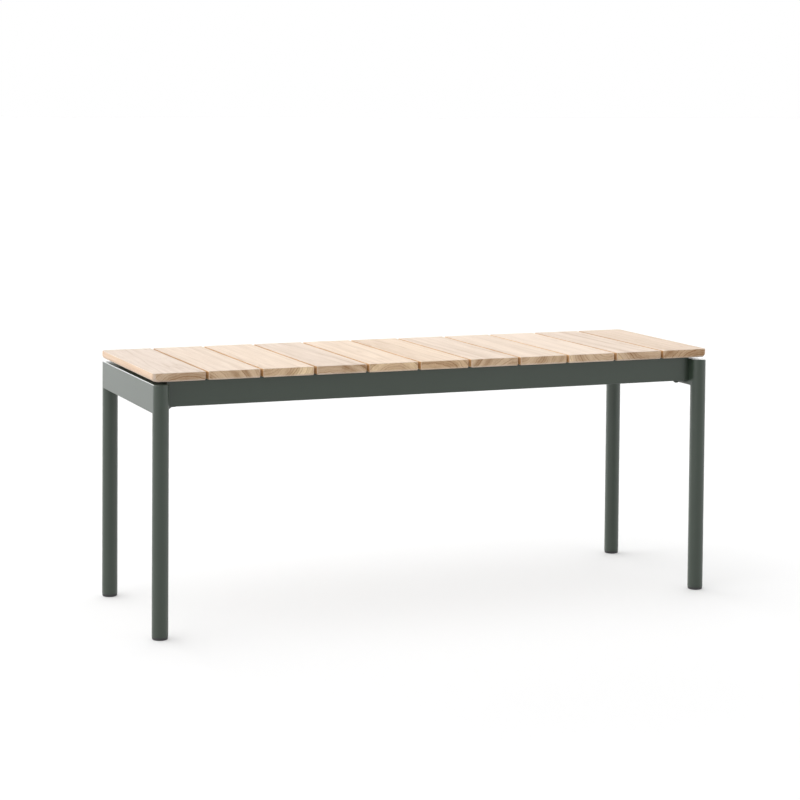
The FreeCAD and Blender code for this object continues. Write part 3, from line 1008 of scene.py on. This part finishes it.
def weld_lines():
    """The corners that weld beads run along: each a row of points.

    They lie under each end rail round the leg it meets, under each tab, and round the stretcher.
    """
    lines = []
    # The side of a back leg that faces the front, in degrees.
    arc = arc_points((0, 0), LEG_SIZE.x / 2, -145, -35, 12)
    for end, sign_x in zip(ENDS, (-1, 1)):
        low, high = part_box("end_rail_" + end)
        inner_x = sign_x * min(abs(low.x), abs(high.x))
        for side, sign_y in zip(SIDES, (-1, 1)):
            lines.append([
                (sign_x * LEG_CENTRE.x + x, sign_y * (LEG_CENTRE.y + y), low.z) for x, y in arc
            ])
            tab_low, tab_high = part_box(f"support_tab_{side}_{end}")
            lines.append([(inner_x, y, tab_low.z) for y in (tab_low.y, tab_high.y)])
    low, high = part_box("cross_stretcher")
    for y in (low.y, high.y):
        corners = ((low.x, high.z), (low.x, low.z), (high.x, low.z), (high.x, high.z))
        lines.append([(x, y, z) for x, z in corners])
    return lines


def weld_tree():
    """Lays a rippled bead along every line of a wire mesh."""
    points_to_a_ripple = 6.0
    tree, given, result = geometry_tree("weld beads", (
        ("Lines", "Object"), ("Width", "Float"), ("Ripple", "Float"), ("Material", "Material"),
    ))
    lines = add_node(tree, "GeometryNodeObjectInfo", {"Object": given["Lines"]}, "Geometry")
    lines = add_node(tree, "GeometryNodeMeshToCurve", {0: lines})
    step = add_node(tree, MATH, {0: given["Ripple"], 1: points_to_a_ripple}, operation="DIVIDE")
    lines = add_node(
        tree, "GeometryNodeResampleCurve", {"Curve": lines, "Length": step}, mode="LENGTH"
    )
    way = add_node(tree, "GeometryNodeSplineParameter").node.outputs
    ripples = add_node(tree, MATH, {0: way["Length"], 1: given["Ripple"]}, operation="DIVIDE")
    ripples = add_node(tree, MATH, {0: ripples, 1: 2 * math.pi}, operation="MULTIPLY")
    ripples = add_node(tree, MATH, {0: ripples}, operation="SINE")
    swelling = add_node(tree, MATH, {0: ripples, 1: 0.1, 2: 0.9}, operation="MULTIPLY_ADD")
    off_middle = add_node(tree, MATH, {0: way["Factor"], 1: 0.5}, operation="SUBTRACT")
    off_middle = add_node(tree, MATH, {0: off_middle}, operation="ABSOLUTE")
    # A bead thins to a third of its width at its ends.
    taper = add_node(tree, MAP_RANGE, {
        "Value": off_middle, "From Min": 0.5, "From Max": 0.44, "To Min": 0.35, "To Max": 1.0
    })
    scale = add_node(tree, MATH, {0: swelling, 1: taper}, operation="MULTIPLY")
    radius = add_node(tree, MATH, {0: given["Width"], 1: 0.5}, operation="MULTIPLY")
    section = add_node(
        tree, "GeometryNodeCurvePrimitiveCircle", {"Resolution": 12, "Radius": radius}
    )
    beads = add_node(tree, "GeometryNodeCurveToMesh", {
        "Curve": lines, "Profile Curve": section, "Scale": scale, "Fill Caps": True
    })
    close_tree(tree, beads, given["Material"], result)
    return tree


class BENCH_OT_welds(bpy.types.Operator):
    """Weld the end rails to the legs, the tabs to the end rails and the stretcher to the rails"""

    bl_idname = "bench.welds"
    bl_label = "Weld beads"

    def execute(self, context):
        settings = context.scene.bench_frame
        wire = bpy.data.meshes.new("weld_lines")
        points = []
        edges = []
        for line in weld_lines():
            start = len(points)
            points.extend(line)
            edges.extend((index, index + 1) for index in range(start, len(points) - 1))
        wire.from_pydata(points, edges, [])
        lines = link("weld_lines", wire)
        piece = grown("weld_beads", weld_tree(), {
            "Lines": lines, "Width": settings.weld_width, "Ripple": settings.weld_ripple,
            "Material": paint_of(context),
        })
        discard(lines)
        settle(shaded(piece, 60), [])
        return {"FINISHED"}


class BENCH_OT_corner_joints(bpy.types.Operator):
    """Finish the support tabs, and the bolts and washers under them"""

    bl_idname = "bench.corner_joints"
    bl_label = "Corner joints"

    def execute(self, context):
        slots = dict.fromkeys(corner_nodes("support_tab"), COATED_TUBE)
        slots.update(dict.fromkeys(("joint_bolts", "joint_washers"), "coated_stainless_steel"))
        for node, slot in slots.items():
            coat(merged_copy(node, node + "_coated"), node, context)
        return {"FINISHED"}


# ---- stage ----
def studio_sky(stage):
    """A soft white dome over a backdrop, brightest behind the bench's left and dark in front."""
    world = bpy.data.worlds.new("white studio")
    world.use_nodes = True
    tree = world.node_tree
    tree.nodes.clear()
    direction = add_node(tree, "ShaderNodeTexCoord", output="Generated")
    side, depth, height = add_node(tree, SPLIT, {0: direction}).node.outputs
    place = add_node(tree, MAP_RANGE, {"Value": depth, "From Min": 1.0, "From Max": -1.0})
    # Both ramps run from behind the bench to in front of it.
    dome = add_node(tree, RAMP, {"Fac": place})
    set_ramp(dome, ((0.0, 0.092), (0.5, 0.083), (0.8, 0.07), (0.98, 0.048)))
    backdrop = add_node(tree, RAMP, {"Fac": place})
    set_ramp(backdrop, (
        (0.0, 1.0), (0.12, 0.8), (0.3, 0.34), (0.5, 0.28), (0.8, 0.18), (0.93, 0.07), (0.98, 0.0)
    ))
    across = add_node(tree, MAP_RANGE, {"Value": side, "From Min": -1.0, "From Max": 1.0})
    # From the bench's left to its right.
    share = add_node(tree, RAMP, {"Fac": across})
    set_ramp(share, ((0.0, 1.0), (0.4, 1.0), (0.58, 0.46), (0.75, 0.5), (0.9, 0.95)))
    backdrop = add_node(tree, MATH, {0: backdrop, 1: share}, operation="MULTIPLY")
    above = add_node(tree, MAP_RANGE, {"Value": height, "From Min": 0.3, "From Max": 0.6})
    light = add_node(
        tree, MIX, {MIX_FACTOR: above, MIX_A: backdrop, MIX_B: dome}, MIX_RESULT, data_type="RGBA"
    )
    light = add_node(tree, MATH, {0: light, 1: stage.sky_bright}, operation="MULTIPLY")
    # The camera itself sees plain white.
    seen = add_node(tree, "ShaderNodeLightPath", output="Is Camera Ray")
    strength = add_node(tree, MIX, {"Factor": seen, "A": light, "B": 1.0})
    background = add_node(tree, "ShaderNodeBackground", {"Color": (1, 1, 1, 1), 1: strength})
    add_node(tree, "ShaderNodeOutputWorld", {"Surface": background})
    return world


def studio_floor(tree, stage):
    """Matt pale studio floor, glowing a little to be as white as the background."""
    return add_node(tree, "ShaderNodeBsdfPrincipled", {
        "Base Color": (*stage.floor_colour, 1), "Roughness": 0.9,
        "Emission Color": (1, 1, 1, 1), "Emission Strength": stage.floor_glow,
    })


def place_camera(scene, stage):
    turn, tilt, roll = stage.camera_turn, stage.camera_tilt, stage.camera_roll
    level = Vector((math.cos(turn), -math.sin(turn), 0.0))
    ahead = Vector((math.sin(turn), math.cos(turn), 0.0))
    view = math.cos(tilt) * ahead - math.sin(tilt) * Vector((0.0, 0.0, 1.0))
    upright = level.cross(view)
    right = math.cos(roll) * level + math.sin(roll) * upright
    up = math.cos(roll) * upright - math.sin(roll) * level
    axes = Matrix((right, up, -view)).transposed().to_4x4()
    camera = bpy.data.objects.new("camera", bpy.data.cameras.new("camera"))
    scene.collection.objects.link(camera)
    camera.matrix_world = Matrix.Translation(stage.camera_place) @ axes
    camera.data.lens = stage.lens
    camera.data.shift_x, camera.data.shift_y = stage.camera_shift
    camera.data.clip_end = 200
    scene.camera = camera


def add_sun(scene, name, towards, strength, spread):
    """A broad light from far off in the given direction, spread over so many degrees."""
    sun = bpy.data.lights.new(name, "SUN")
    sun.energy = strength
    sun.angle = math.radians(spread)
    item = bpy.data.objects.new(name, sun)
    item.rotation_euler = Vector(towards).to_track_quat("Z", "Y").to_euler()
    scene.collection.objects.link(item)


class BENCH_OT_stage(bpy.types.Operator):
    """Set up the floor, the light and the camera"""

    bl_idname = "bench.stage"
    bl_label = "Stage"

    def execute(self, context):
        scene = context.scene
        stage = scene.bench_stage
        scene.view_settings.view_transform = "Standard"
        scene.world = studio_sky(stage)
        place_camera(scene, stage)
        add_sun(scene, "key", (-0.62, -0.1, 0.78), stage.key_strength, spread=70)
        add_sun(scene, "fill", (0.6, -0.76, 0.25), stage.fill_strength, spread=45)
        half = 60.0
        floor = link("floor", mesh_from("floor", [
            (-half, -half, 0), (half, -half, 0), (half, half, 0), (-half, half, 0)
        ], [(0, 1, 2, 3)]))
        floor.data.materials.append(material_from("studio_floor", studio_floor, stage))
        return {"FINISHED"}


# ---- add-on ----
OPERATORS = (
    BENCH_OT_seat_slats,
    BENCH_OT_slat_screws,
    BENCH_OT_legs,
    BENCH_OT_foot_glides,
    BENCH_OT_end_rails,
    BENCH_OT_long_rails,
    BENCH_OT_welds,
    BENCH_OT_corner_joints,
    BENCH_OT_stage,
)


class VIEW3D_PT_bench(bpy.types.Panel):
    """Lists what builds the bench"""

    bl_label = "Backless bench"
    bl_space_type = "VIEW_3D"
    bl_region_type = "UI"
    bl_category = "Bench"

    def draw(self, context):
        for operator in OPERATORS:
            self.layout.operator(operator.bl_idname)
        for settings in (
            context.scene.bench_seat, context.scene.bench_frame, context.scene.bench_stage
        ):
            box = self.layout.box()
            for name in settings.bl_rna.properties.keys():
                if name not in ("rna_type", "name"):
                    box.prop(settings, name)


SETTINGS = (
    ("bench_seat", BenchSeatSettings),
    ("bench_frame", BenchFrameSettings),
    ("bench_stage", BenchStageSettings),
)


def register():
    for name, settings in SETTINGS:
        bpy.utils.register_class(settings)
        setattr(bpy.types.Scene, name, PointerProperty(type=settings))
    for shown in (*OPERATORS, VIEW3D_PT_bench):
        bpy.utils.register_class(shown)


def unregister():
    for shown in reversed((*OPERATORS, VIEW3D_PT_bench)):
        bpy.utils.unregister_class(shown)
    for name, settings in reversed(SETTINGS):
        delattr(bpy.types.Scene, name)
        bpy.utils.unregister_class(settings)


def main():
    register()
    for operator in OPERATORS:
        group, name = operator.bl_idname.split(".")
        getattr(getattr(bpy.ops, group), name)()


if __name__ == "__main__":
    main()
